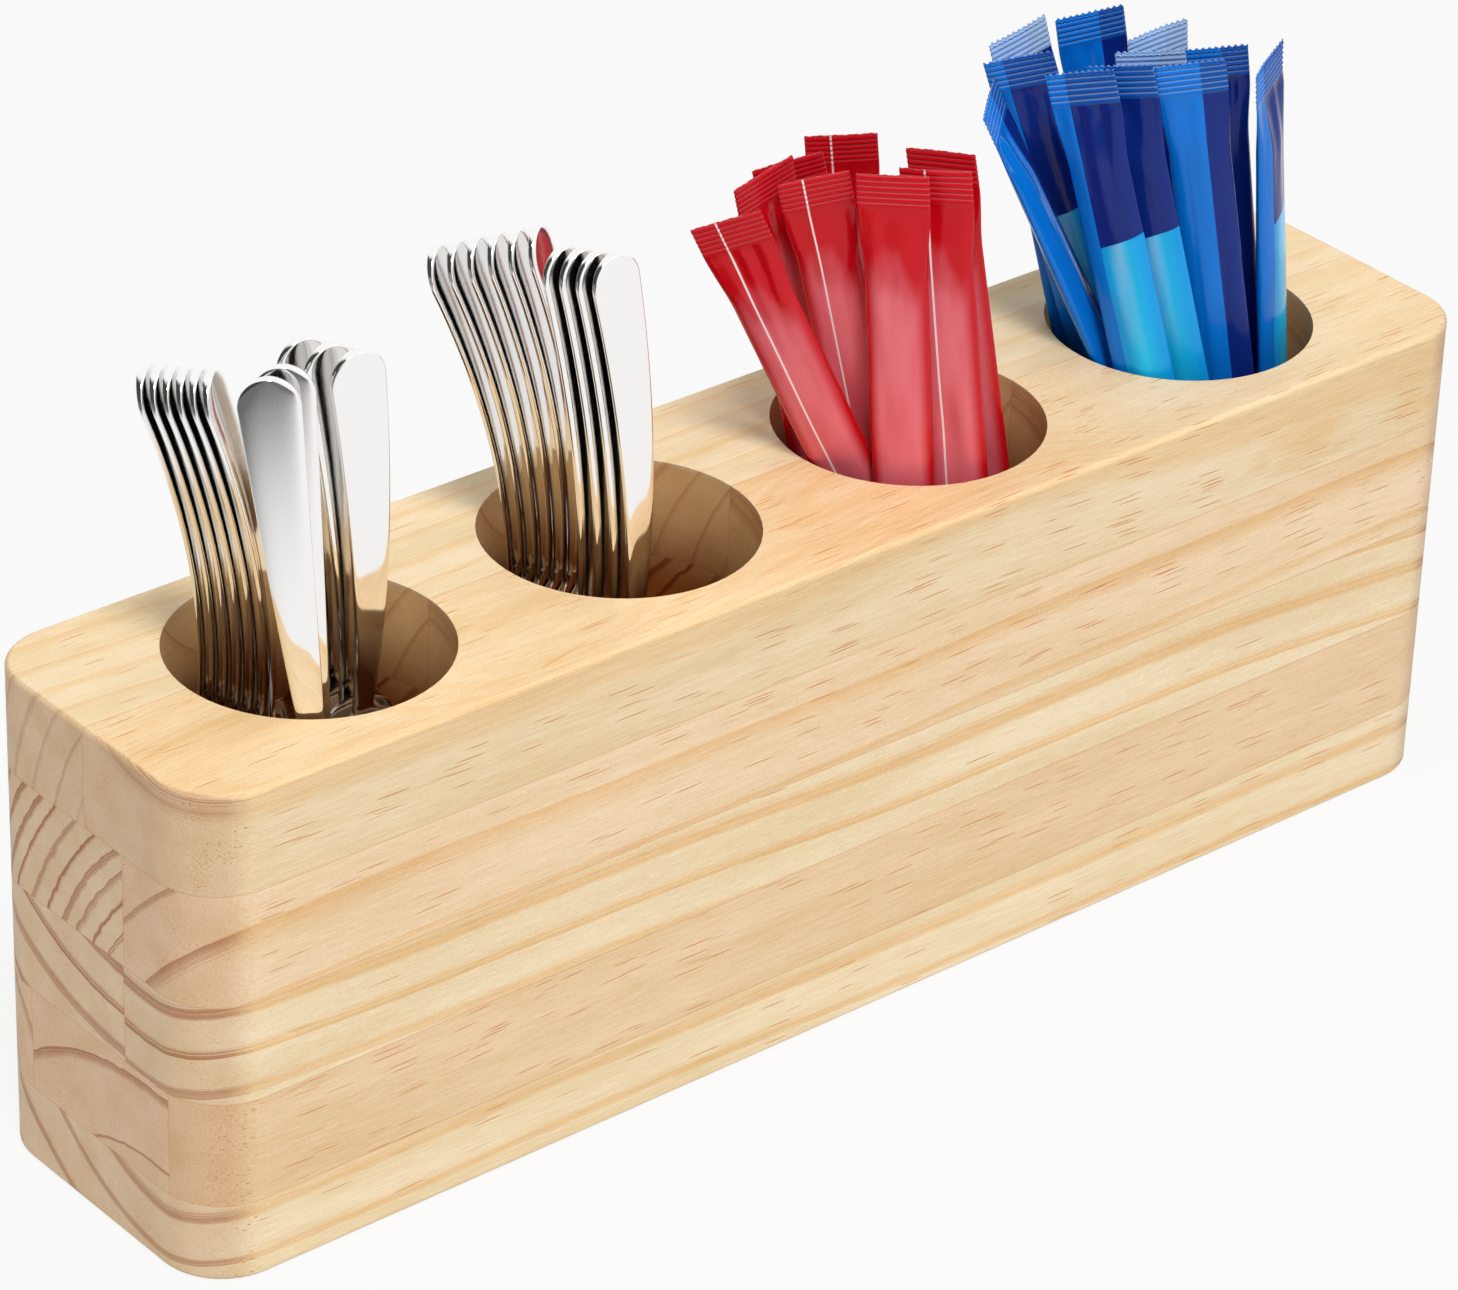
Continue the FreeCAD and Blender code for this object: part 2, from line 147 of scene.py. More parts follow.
class WoodLook(bpy.types.PropertyGroup):
    """Colours of the oiled pine."""
    cream: colour("Cream", (0.865, 0.73, 0.515), "Early wood of the palest staves")
    golden: colour("Golden", (0.825, 0.675, 0.46), "Early wood of the yellow staves")
    rosy: colour("Rosy", (0.865, 0.675, 0.47), "Early wood of the pinkish staves")
    tan: colour("Tan", (0.815, 0.615, 0.405), "Early wood of the darkest staves")
    late: colour("Late wood", (0.78, 0.46, 0.17), "Late wood of a ring, along the grain")
    end_late: colour("End rings", (0.40, 0.17, 0.075), "Late wood of a ring, on end grain")
    # End grain's own darker tone, deepened to paint the shade on the end faces of the block.
    end_grain_and_shade: colour("End grain", (0.82, 0.74, 0.71), "How much end grain darkens the wood")
    stain: colour("Stain", (0.90, 0.80, 0.62), "How much the oil darkens thirsty fibres")
    resin: colour("Resin ducts", (0.58, 0.18, 0.03), "Short dashes of resin")
    # Painted shade in the wells: rim darkens their walls just below the rim, and the next colour
    # darkens them more lower down.
    rim: colour("Rim", (1.0, 0.84, 0.62), "How much the drill browned the wells at the top")
    deep_well_shade: colour("Bored walls", (0.26, 0.10, 0.03), "How much it browned them lower down")
    glue_width: length("Glue line", 0.00012, "Half the width of a glue line")


class SpoonLook(bpy.types.PropertyGroup):
    """Sizes and finish of the coffee spoons."""
    length: length("Length", 0.128, "Length of a spoon")
    bowl_length: length("Bowl length", 0.038, "Length of the bowl")
    bowl_depth: length("Bowl depth", 0.005, "Depth of the bowl over its back")
    wall: length("Wall", 0.0009, "Thickness of the steel in the bowl")
    neck_width: length("Neck width", 0.0046, "Width of the handle where it leaves the bowl")
    end_radius: length("End radius", 0.0062, "Radius of the round end of the handle")
    thickness: length("Thickness", 0.0018, "Thickness of the handle")
    steel: colour("Steel", (0.84, 0.83, 0.82), "Colour of the polished steel")
    polish: FloatProperty(name="Polish", description="Roughness of the polished steel",
                          default=0.08, min=0.0, max=1.0, subtype="FACTOR")


class SachetLook(bpy.types.PropertyGroup):
    """Sizes and colours of the stick sachets."""
    seal_length: length("Seal length", 0.008, "Length of a crimped seal")
    shoulder: length("Shoulder", 0.016, "Length over which a sachet swells from its seal")
    seal_thickness: length("Seal thickness", 0.0004, "Thickness of a crimped seal")
    rib_depth: length("Rib depth", 0.00013, "How far a rib of the seal stands out")
    lap: length("Lap", 0.00022, "How far the film stands out where it laps over itself")
    ribs: IntProperty(name="Ribs", description="Crimped ribs across a seal", default=6, min=1)
    teeth: IntProperty(name="Teeth", description="Teeth of a blue sachet's cut edge",
                       default=11, min=1)
    tooth_depth: length("Tooth depth", 0.0008, "Depth of a tooth of the cut edge")
    red: colour("Red", (0.56, 0.003, 0.010), "Film of the red sachets")
    # A printed panel colour, made brighter so that it also paints the highlights on the film.
    rose_and_highlight: colour("Rose", (0.80, 0.17, 0.21), "Paler panel of the red sachets")
    navy: colour("Navy", (0.004, 0.021, 0.20), "Upper panel of the blue sachets")
    blue: colour("Blue", (0.002, 0.17, 0.66), "Sides of the blue sachets")
    sky: colour("Sky", (0.01, 0.52, 0.92), "Lower panel of the blue sachets")
    # Also the colour of the painted glints in streaks on the blue panels.
    pale: colour("Pale", (0.42, 0.60, 0.85), "Paler seals of the blue sachets")
    lined: BoolProperty(name="White line", default=True,
                        description="Draw the thin white line on the red sachets")


class StageLook(bpy.types.PropertyGroup):
    """Camera, lamps and floor."""
    lens: FloatProperty(name="Lens", description="Focal length in millimetres",
                        default=152.54, min=1.0, unit="CAMERA")
    key_power: FloatProperty(name="Key lamp", description="Power of the key lamp", default=78.0,
                             min=0.0, unit="POWER")
    fill_power: FloatProperty(name="Fill lamp", description="Power of the fill lamp",
                              default=5.0, min=0.0, unit="POWER")
    sky_light: FloatProperty(name="Sky light", description="Strength of the light all round",
                             default=0.50, min=0.0)
    floor: colour("Floor", (0.62, 0.62, 0.62), "Colour of the floor")


class Recipe:
    """Builds the nodes of a material or a world. Most methods add a node and give its output."""

    def __init__(self, owner):
        owner.use_nodes = True
        self.owner = owner
        self.tree = owner.node_tree
        self.shader = self.tree.nodes.get("Principled BSDF")

    def node(self, kind, inputs, output=0, **settings):
        """A node with its settings and inputs, where an input is a number or an output."""
        made = self.tree.nodes.new(kind)
        for name, value in settings.items():
            setattr(made, name, value)
        for socket, value in inputs.items():
            self.feed(made.inputs[socket], value)
        return made.outputs[output]

    def feed(self, socket, value):
        """Link an output to a socket, or set the socket's own value."""
        if isinstance(value, bpy.types.NodeSocket):
            self.tree.links.new(value, socket)
        else:
            socket.default_value = value

    def source(self, kind):
        """The outputs of a node that takes nothing in."""
        return self.tree.nodes.new(kind).outputs

    def math(self, operation, first, second=0.0):
        """One sum of two numbers."""
        return self.node("ShaderNodeMath", {0: first, 1: second}, operation=operation)

    def product(self, first, *others):
        """All the numbers multiplied."""
        for other in others:
            first = self.math("MULTIPLY", first, other)
        return first

    def line(self, value, slope, start):
        """The slope times a value, plus the start."""
        return self.math("ADD", self.math("MULTIPLY", value, slope), start)

    def apart(self, value, middle):
        """How far a number lies from a middle."""
        return self.math("ABSOLUTE", self.math("SUBTRACT", value, middle))

    def vector(self, operation, *values):
        """One sum of vectors."""
        return self.node("ShaderNodeVectorMath", dict(enumerate(values)), operation=operation)

    def reach(self, offset):
        """The length of a vector."""
        return self.node("ShaderNodeVectorMath", {0: offset}, "Value", operation="LENGTH")

    def joined(self, parts):
        """A vector of the parts given by their places, 0 to 2. The other parts are 0."""
        return self.node("ShaderNodeCombineXYZ", parts)

    def scaled(self, place, scale, shift=(0.0, 0.0, 0.0)):
        """A place times a scale for each axis, then shifted."""
        return self.vector("MULTIPLY_ADD", place, scale, shift)

    def parts(self, place):
        """The three numbers of a place."""
        separate = self.tree.nodes.new("ShaderNodeSeparateXYZ")
        self.feed(separate.inputs[0], place)
        return separate.outputs

    def step(self, value, low, high):
        """Rises smoothly from 0 at low to 1 at high."""
        return self.node("ShaderNodeMapRange", {"Value": value, "From Min": low,
                                                "From Max": high},
                         interpolation_type="SMOOTHSTEP")

    def noise(self, place, detail=2.0, output="Fac"):
        """Soft noise with features about one unit across."""
        return self.node("ShaderNodeTexNoise", {"Vector": place, "Scale": 1.0,
                                                "Detail": detail}, output)

    def noise_along(self, value, detail):
        """Soft noise of one number."""
        return self.noise(self.joined({0: value, 1: value, 2: value}), detail)

    def mix(self, share, first, second, blend="MIX"):
        """A colour between two colours."""
        return self.node("ShaderNodeMix", {0: share, 6: rgba(first), 7: rgba(second)}, 2,
                         data_type="RGBA", blend_type=blend)

    def bump(self, height, distance, strength):
        """Bump the shader by a height, at a distance in metres."""
        self.feed(self.shader.inputs["Normal"], self.node(
            "ShaderNodeBump", {"Height": height, "Distance": distance, "Strength": strength}))


def rgba(value):
    """A colour with its alpha, or an output as it is."""
    if isinstance(value, bpy.types.NodeSocket):
        return value
    return (*value, 1.0)


# ---------------------------------------------------------------------------- wood

# Scales of the patterns in the wood, in cells for a millimetre: right, back and up.
SWAY_SCALE, TREMBLE_SCALE = (0.0075, 0.012, 0.012), (0.012, 0.30, 0.30)
FIBRE_SCALE, SPECKLE_SCALE, CLOUD_SCALE = (0.13, 3.0, 3.0), (1.6, 4.0, 4.0), (0.010, 0.11, 0.11)
DUCT_SCALE, DUCT_BAND_SCALE = (0.050, 1.7, 1.7), (0.004, 0.15, 0.15)
STAIN_SCALE = (0.13, 0.35, 0.35)
# How far a stave's number moves its patterns, in cells, so that no two staves are alike.
STAVE_SHIFT = (17.3, 5.9, 11.7)

# Wood that has soaked up no oil, as a share of its colour, its gloss and how much of that the
# bored walls lose.
DRY_WOOD, WOOD_GLOSS, GLOSS_LOST = (1.08, 1.08, 1.08), 0.35, 0.30
# How much of its colour resin leaves in its ducts and in a glue line.
DUCT_DEPTH, GLUE_DEPTH = 0.8, 0.30
# Height in metres that the fibres bump.
FIBRE_HEIGHT = 0.00012


def glue_distance(recipe, name, across):
    """Distance in millimetres to the nearest glue joint of a stave, or 99 if it has none.

    A side of the stave that lies in the block's own outside, within 0.5 mm, has no glue.
    """
    low, high = (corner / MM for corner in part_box(name))
    nearest = 99.0
    for axis in (1, 2):
        for joint, outside in ((low[axis], BLOCK_LOW[axis]), (high[axis], BLOCK_HIGH[axis])):
            if abs(joint - outside) > 0.5:
                nearest = recipe.math("MINIMUM", recipe.apart(across[axis], joint), nearest)
    return nearest


def bored_walls(recipe, across):
    """Whether a place lies on the wall of a well, and how deep it lies there, both 0 to 1.

    The wall fades in over the first 1.2 mm below the rim and ends 0.3 to 0.8 mm outside the
    bore. The depth, which sets the painted shade in the wells, grows from 3 mm below the rim to
    18 mm above the well's floor.
    """
    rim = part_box("top_course_front_stave")[1][2] / MM
    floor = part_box("second_course_back_stave")[0][2] / MM
    radius, pitch = WELL_RADIUS / MM, WELL_PITCH / MM
    offset = recipe.math("SUBTRACT", across[0], WELL_ROW[0] / MM)
    well = recipe.math("ROUND", recipe.math("DIVIDE", offset, pitch))
    well = recipe.math("MINIMUM", recipe.math("MAXIMUM", well, 0.0), WELL_COUNT - 1)
    beside = recipe.math("SUBTRACT", offset, recipe.math("MULTIPLY", well, pitch))
    behind = recipe.math("SUBTRACT", across[1], WELL_ROW[1] / MM)
    from_middle = recipe.reach(recipe.joined({0: beside, 1: behind}))
    walls = recipe.step(from_middle, radius + 0.8, radius + 0.3)
    inside = recipe.step(across[2], rim - 0.05, rim - 1.2)
    return recipe.product(walls, inside), recipe.step(across[2], rim - 3, floor + 18)


def stained(recipe, place, stain):
    """How deep a stain is at a place: deepest in its middle and patchy towards its edge."""
    offset = recipe.vector("SUBTRACT", place, stain.middle)
    risen = recipe.math("MULTIPLY", recipe.parts(offset)[0], -stain.slant)
    offset = recipe.vector("ADD", offset, recipe.joined({1: risen}))
    from_middle = recipe.reach(recipe.scaled(offset, tuple(1 / size for size in stain.size)))
    patchy = recipe.noise(recipe.scaled(place, STAIN_SCALE), 3.0)
    ragged = recipe.math("ADD", from_middle, recipe.math("MULTIPLY", patchy, 1.4))
    return recipe.product(recipe.step(ragged, 1.75, 0.75), stain.depth)


def soaked(recipe, place, fibre, shift):
    """How much oil a place has soaked up, by its fibres, by clouds and by speckles."""
    cloud = recipe.noise(recipe.scaled(place, CLOUD_SCALE, shift), 3.0)
    speckle = recipe.noise(recipe.scaled(place, SPECKLE_SCALE, shift), 1.0)
    amount = recipe.math("ADD", recipe.math("MULTIPLY", fibre, 0.55),
                         recipe.math("MULTIPLY", cloud, 0.55))
    amount = recipe.math("ADD", amount, recipe.math("MULTIPLY", speckle, 0.35))
    return recipe.step(amount, 0.45, 1.00)


def pith_distance(recipe, place, grain, slow, sunk, shift):
    """Distance from the pith in millimetres, where the grain sways, trembles and sinks."""
    sway, tremble = grain.sway, grain.tremble
    back, up = grain.pith
    quick = recipe.noise(recipe.scaled(place, TREMBLE_SCALE, shift), 2.0, "Color")
    bent = recipe.scaled(slow, (0, 2 * sway, 2 * sway), (0, -sway, -sway))
    bent = recipe.vector("ADD", bent, recipe.scaled(quick, (0, tremble, tremble)))
    bent = recipe.vector("ADD", bent, sunk)
    return recipe.reach(recipe.scaled(recipe.vector("ADD", place, bent), (0, grain.squash, 1),
                                      (0, -back * grain.squash, -up)))


def late_wood(recipe, grain, from_pith):
    """How deep the late wood is at a distance from the pith.

    It deepens towards the outside of each ring and stops sharply. Noise makes the rings uneven
    in width and strength and draws finer lines within them.
    """
    uneven, weakest, faintest = 0.7, 0.45, 0.55
    width_rate, line_rate, strength_rate = 0.6, 2.3, 3.7
    starts, deepest, stops = (1 - part * grain.share for part in (1.6, 0.20, 0.15))
    turns = recipe.math("DIVIDE", recipe.math("SUBTRACT", from_pith, grain.radius),
                        grain.spacing)
    widths = recipe.noise_along(recipe.math("MULTIPLY", turns, width_rate), 1.0)
    turns = recipe.math("ADD", turns, recipe.math("MULTIPLY", widths, uneven))
    turns = recipe.math("SUBTRACT", turns, uneven / 2)
    ring, within = recipe.math("FLOOR", turns), recipe.math("FRACT", turns)
    rise = recipe.step(within, starts, deepest)
    fall = recipe.step(within, 1.0, stops)
    lines = recipe.noise_along(recipe.math("MULTIPLY", from_pith, line_rate), 3.0)
    lines = recipe.line(recipe.step(lines, 0.36, 0.62), 0.7, faintest)
    strength = recipe.noise_along(recipe.math("MULTIPLY", ring, strength_rate), 0.0)
    return recipe.product(rise, fall, lines, recipe.math("ADD", strength, weakest), grain.late)


def resin_ducts(recipe, place, grain, slow, sunk, shift):
    """Where resin ducts show: the middles of long thin cells, in loose bands."""
    bent = recipe.vector("ADD", recipe.scaled(slow, (0, 10, 10)), sunk)
    cells = recipe.tree.nodes.new("ShaderNodeTexVoronoi")
    recipe.feed(cells.inputs["Vector"], recipe.vector(
        "ADD", recipe.scaled(place, DUCT_SCALE, shift), bent))
    recipe.feed(cells.inputs["Scale"], 1.0)
    chosen = recipe.math("LESS_THAN", recipe.parts(cells.outputs["Color"])[0], grain.dashes)
    bands = recipe.noise(recipe.scaled(place, DUCT_BAND_SCALE, shift), 1.0)
    return recipe.product(recipe.step(cells.outputs["Distance"], 0.26, 0.19), chosen,
                          recipe.step(bands, 0.40, 0.54))


def pine(name, grain, look, seed):
    """Oiled pine, as rings round a pith that runs along the stave.

    The distance to the pith, bent by slow noise, gives the place within a ring: late wood
    deepens towards the outside of each ring and stops sharply. Stretched noise gives the
    fibres, and long thin cells of a Voronoi pattern the resin ducts, which show as dashes
    along the grain and as dots across it.
    """
    recipe = Recipe(bpy.data.materials.new("pine_" + name))
    source = recipe.source("ShaderNodeTexCoord")
    place = recipe.scaled(source["Object"], (1 / MM, 1 / MM, 1 / MM))
    across = recipe.parts(place)
    shift = tuple(seed * step for step in STAVE_SHIFT)
    slow = recipe.noise(recipe.scaled(place, SWAY_SCALE, shift), 1.0, "Color")
    sunk = recipe.joined({2: recipe.math(
        "MULTIPLY", across[0], grain.sink / (BLOCK_HIGH[0] - BLOCK_LOW[0]))})
    late = late_wood(recipe, grain, pith_distance(recipe, place, grain, slow, sunk, shift))
    fibre = recipe.noise(recipe.scaled(place, FIBRE_SCALE, shift), 3.0)

    early = getattr(look, grain.tone)
    deepened = recipe.math("MULTIPLY", late, 0.85)
    for stain in STAINS.get(name, ()):
        deepened = recipe.math("MAXIMUM", deepened, stained(recipe, place, stain))
    along = recipe.mix(deepened, early, look.late)
    # End grain: its own darker tone plus painted shade on faces that look along the block, spread
    # round the rounded corners.
    end_early = [tone * tint for tone, tint in zip(early, look.end_grain_and_shade)]
    cut = recipe.mix(recipe.step(late, 0.10, 0.95), end_early, look.end_late)
    endways = recipe.math("ABSOLUTE", recipe.parts(source["Normal"])[0])
    wood = recipe.mix(recipe.step(endways, 0.05, 0.60), along, cut)
    oil = recipe.mix(soaked(recipe, place, fibre, shift), DRY_WOOD, look.stain)
    wood = recipe.mix(1.0, wood, oil, "MULTIPLY")

    ducts = resin_ducts(recipe, place, grain, slow, sunk, shift)
    wood = recipe.mix(recipe.math("MULTIPLY", ducts, DUCT_DEPTH), wood, look.resin)
    glue_width = look.glue_width / MM
    glue = recipe.step(glue_distance(recipe, name, across), 2.2 * glue_width, 0.6 * glue_width)
    wood = recipe.mix(recipe.math("MULTIPLY", glue, GLUE_DEPTH), wood, look.resin)

    gloss = WOOD_GLOSS
    # Painted shade in the wells: their walls darken a little near the rim and more with depth,
    # and lose some gloss.
    if name.startswith(("top", "second")):
        walls, depth = bored_walls(recipe, across)
        wood = recipe.mix(walls, wood, recipe.mix(depth, look.rim, look.deep_well_shade), "MULTIPLY")
        gloss = recipe.line(recipe.product(walls, depth), -GLOSS_LOST, WOOD_GLOSS)
    recipe.feed(recipe.shader.inputs["Base Color"], wood)
    recipe.feed(recipe.shader.inputs["Specular IOR Level"], gloss)
    recipe.feed(recipe.shader.inputs["Roughness"], recipe.line(fibre, 0.16, 0.42))
    recipe.bump(fibre, FIBRE_HEIGHT, 0.5)
    return recipe.owner


# ---------------------------------------------------------------------------- placing

Bearing = namedtuple("Bearing", "middle axes")


def bearing(triangles, up, right):
    """Middle of a surface's box and its principal axes, as rows: up, across and back.

    They are the principal axes of the surface's second moments, each triangle weighed by its
    area: up is the one along which it spreads widest, across the next. up and right only say
    which way round the first two point, and back completes a right-handed set. The box lies
    along these axes.
    """
    areas = np.linalg.norm(np.cross(triangles[:, 1] - triangles[:, 0],
                                    triangles[:, 2] - triangles[:, 0]), axis=1) / 2
    middle = (triangles.mean(1) * areas[:, None]).sum(0) / areas.sum()
    spread = triangles - middle
    total = spread.sum(1)
    moments = np.einsum("tci,tcj,t->ij", spread, spread, areas)
    moments += np.einsum("ti,tj,t->ij", total, total, areas)
    axes = np.linalg.eigh(moments)[1].T[::-1]
    along, across = axes[0] * np.sign(axes[0] @ up), axes[1] * np.sign(axes[1] @ right)
    axes = np.array([along, across, np.cross(along, across)])
    reach = triangles.reshape(-1, 3) @ axes.T
    return Bearing((reach.min(0) + reach.max(0)) / 2 @ axes, axes)


def node_triangles(name):
    """Corners of every triangle of a CAD node, in millimetres."""
    mesh = frame["nodes"][name].data
    points = np.zeros(len(mesh.vertices) * 3)
    mesh.vertices.foreach_get("co", points)
    corners = np.zeros(len(mesh.loops), int)
    mesh.loops.foreach_get("vertex_index", corners)
    return points.reshape(-1, 3)[corners].reshape(-1, 3, 3) / MM


def ring_triangles(rings):
    """Corners of the triangles of a wall through rings of points."""
    beside = np.roll(rings, -1, axis=1)
    halves = [np.stack([rings[:-1], beside[:-1], beside[1:]], 2),
              np.stack([rings[:-1], beside[1:], rings[1:]], 2)]
    return np.concatenate(halves).reshape(-1, 3, 3)


def stood(points, form, name):
    """Move points to where a CAD piece stands, given the bearing of the upright form."""
    there = bearing(node_triangles(name), LIFTS[name], (1, 0, 0))
    return there.middle + (points - form.middle) @ form.axes.T @ there.axes


def height_of(name):
    """Length of a standing piece along its own axis, in millimetres."""
    triangles = node_triangles(name)
    along = triangles @ bearing(triangles, LIFTS[name], (1, 0, 0)).axes[0]
    return along.max() - along.min()


def tube_mesh(name, rings, marks):
    """A closed mesh through rings of points, shape (stations, around, 3), in millimetres.

    Point k of a ring and its opposite, counted back from point 0, close each end by a ribbon
    of quads. marks, of the same shape, is kept as the attribute "place".
    """
    stations, around = rings.shape[:2]
    points = rings.reshape(-1, 3) * MM
    ring = np.arange(around)
    low = np.arange(stations - 1)[:, None] * around
    beside = (ring + 1) % around
    walls = np.stack([low + ring, low + beside, low + around + beside, low + around + ring], -1)
    half = np.arange(1, around // 2 - 1)
    ribbon = np.stack([half, half + 1, around - half - 1, around - half], -1)
    last = (stations - 1) * around
    faces = walls.reshape(-1, 4).tolist()
    faces += (ribbon[:, ::-1]).tolist() + (ribbon + last).tolist()
    tip = around // 2
    for base, turn in ((0, -1), (last, 1)):
        for corners in ((0, 1, around - 1), (tip - 1, tip, tip + 1)):
            faces.append([base + corner for corner in corners][::turn])
    mesh = bpy.data.meshes.new(name)
    mesh.from_pydata(points, [], faces)
    kept = mesh.attributes.new("place", "FLOAT_VECTOR", "POINT")
    kept.data.foreach_set("vector", marks.reshape(-1).astype(np.float32))
    mesh.polygons.foreach_set("use_smooth", np.ones(len(mesh.polygons), bool))
    mesh.update()
    piece = bpy.data.objects.new(name, mesh)
    bpy.context.scene.collection.objects.link(piece)
    return piece


def smooth(value, low, high):
    """Rises smoothly from 0 at low to 1 at high."""
    share = np.clip((value - low) / (high - low), 0.0, 1.0)
    return share * share * (3 - 2 * share)


def fit(piece, name):
    """Let a finished piece ride on its node's body and stand for the node."""
    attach(piece, name)
    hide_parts(name)


# ---------------------------------------------------------------------------- spoons

# Radius of the arc that a spoon's handle follows and half its bowl's width, in millimetres,
# and the power of the handle's section, where 1 is an ellipse and less is squarer.
HANDLE_BEND, BOWL_HALF_WIDTH, SQUARENESS = 260.0, 12.0, 0.6
# Rings along the bowl's tip, the rest of it, the handle and its round end; points in a ring.
TIP_RINGS, BOWL_RINGS, HANDLE_RINGS, END_RINGS, SPOON_POINTS = 22, 40, 40, 20, 56


def spoon_rings(look):
    """Rings of points round a spoon, from the tip of its bowl to the end of its handle.

    In the bowl a ring is two half ellipses, one inside the other: the section of two
    ellipsoids a wall apart. In the handle it is a superellipse, flat and wide, whose middle
    lies on an arc through the bowl's end and the handle's end. The one turns smoothly into
    the other at the neck.
    """
    total, bowl, depth = look.length / MM, look.bowl_length / MM, look.bowl_depth / MM
    end, neck = look.end_radius / MM, look.neck_width / MM / 2
    thick, wall = look.thickness / MM, look.wall / MM
    bend, width = HANDLE_BEND, BOWL_HALF_WIDTH
    stations = np.concatenate([
        bowl * (1 - np.cos(np.linspace(0, 0.5 * np.pi, TIP_RINGS))) / 2,
        np.linspace(bowl / 2, bowl + 4, BOWL_RINGS)[1:],
        np.linspace(bowl + 4, total - end, HANDLE_RINGS)[1:],
        total - end * (1 - np.sin(np.linspace(0, 0.5 * np.pi, END_RINGS)[1:]))])
    height = stations[:, None]
    angle = np.linspace(0, 2 * np.pi, SPOON_POINTS, endpoint=False)[None, :]
    cosine, sine = np.cos(angle), np.sin(angle)

    outer = np.sqrt(np.clip(1 - ((height - bowl / 2) / (bowl / 2)) ** 2, 0, 1))
    inner = np.sqrt(np.clip(1 - ((height - bowl / 2) / (bowl / 2 - wall)) ** 2, 0, 1))
    behind = sine >= 0
    bowl_x = np.where(behind, width * outer, (width - wall) * inner) * cosine
    bowl_y = np.where(behind, depth * outer, (depth - wall) * inner) * np.abs(sine)

    half = neck + (end - neck) * (height - bowl + 2) / (total - end - bowl + 2)
    half = np.where(height > total - end,
                    np.sqrt(np.clip(end ** 2 - (height - total + end) ** 2, 0, None)), half)
    span = (total - bowl) / 2
    arc = math.sqrt(bend ** 2 - span ** 2) - np.sqrt(
        bend ** 2 - np.clip(height - bowl - span, -span, span) ** 2)
    edge = np.minimum(1.0, half / (0.8 * thick)) ** 0.5
    handle_x = half * np.sign(cosine) * np.abs(cosine) ** SQUARENESS
    handle_y = arc + edge * thick / 2 * np.sign(sine) * np.abs(sine) ** SQUARENESS

    neckness = smooth(height, bowl - 7, bowl)
    x = bowl_x * (1 - neckness) + handle_x * neckness
    y = bowl_y * (1 - neckness) + handle_y * neckness
    z = np.broadcast_to(height, x.shape)
    return np.stack([x, y, z], -1)


def polished_steel(look):
    """Mirror-polished steel with faint lengthwise polishing marks."""
    recipe = Recipe(bpy.data.materials.new("polished_steel"))
    place = recipe.node("ShaderNodeAttribute", {}, "Vector", attribute_name="place")
    marks = recipe.noise(recipe.scaled(place, (5.0, 5.0, 0.10)), 3.0)
    finish = {"Base Color": rgba(look.steel), "Metallic": 1.0,
              "Roughness": recipe.line(marks, 0.05, look.polish - 0.02)}
    for name, value in finish.items():
        recipe.feed(recipe.shader.inputs[name], value)
    recipe.bump(marks, 0.00002, 0.25)
    return recipe.owner


# ---------------------------------------------------------------------------- sachets

# The film of a sachet, in millimetres: half its width where it is flat, how much that shrinks
# where it is full, half its thickness there, and the share of it that is missing at the top.
FLAT_HALF, DRAWN_IN, FULL_HALF, EMPTIED = 7.7, 1.0, 2.5, 0.28
# The power that shapes a ring: at a seal, and how much it grows where the film is full.
SEAL_POWER, POWER_GROWTH = 0.35, 0.85
# Pleats at the seals: how many, how deep in millimetres and how fast they die away from the
# lower and the upper seal, in millimetres.
PLEATS, PLEAT_DEPTH, PLEAT_REACH = 3, 0.20, (11, 14)
# Dents along the film: how many, how far from its ends in millimetres, and half their width.
DENTS, DENT_MARGIN, DENT_HALF = 7, 14, 0.35
# Rings for each rib of a seal and along the rest of a sachet, and points in a ring.
RIB_RINGS, FILM_RINGS, FILM_POINTS = 6, 70, 96
# Scales of the film's patterns, in cells for each half width, side and millimetre up.
WRINKLE_SCALE, FINE_WRINKLE_SCALE = (1.6, 1.6, 0.05), (6.0, 6.0, 0.9)
BLUR_SCALE, STREAK_SCALE = (1.2, 0.4, 0.045), (1.0, 0.4, 0.03)
# Height in metres that the wrinkles bump, and the share of it that the fine ones add.
WRINKLE_HEIGHT, FINE_SHARE = 0.0007, 0.12
# How much of the paler paint shows on the ribs of a seal.
RED_RIBS, BLUE_RIBS = 0.35, 0.30

# The red panel: how far it starts below the upper seal and how far that wanders, and its soft
# upper edge, in millimetres; its soft sides, in shares of the half width. The panel is printed,
# and its middle, paler than its sides, is also a painted highlight.
ROSE_DROP, ROSE_WANDER, ROSE_EDGE, ROSE_SIDES = 27, 22, (-5.0, 6.0), (0.95, 0.55)
# The white line: where its soft edge starts and ends, in shares of the half width.
LINE_EDGE = (0.034, 0.020)
# The blue panel: its upper edge as a share of the height, the rise of that edge over half the
# width and half its softness, in millimetres; and the share from which the front is navy.
SKY_TOP, SKY_RISE, SKY_EDGE, NAVY_FROM = 0.66, 1.6, 0.12, -0.45

Film = namedtuple("Film", "recipe place share side height seals ribs")


def upright(total):
    """Bearing of a sachet's plain form, the same on both sides and at both ends."""
    return Bearing(np.array([0, 0, total / 2]), np.array([(0, 0, 1), (1, 0, 0), (0, 1, 0)]))


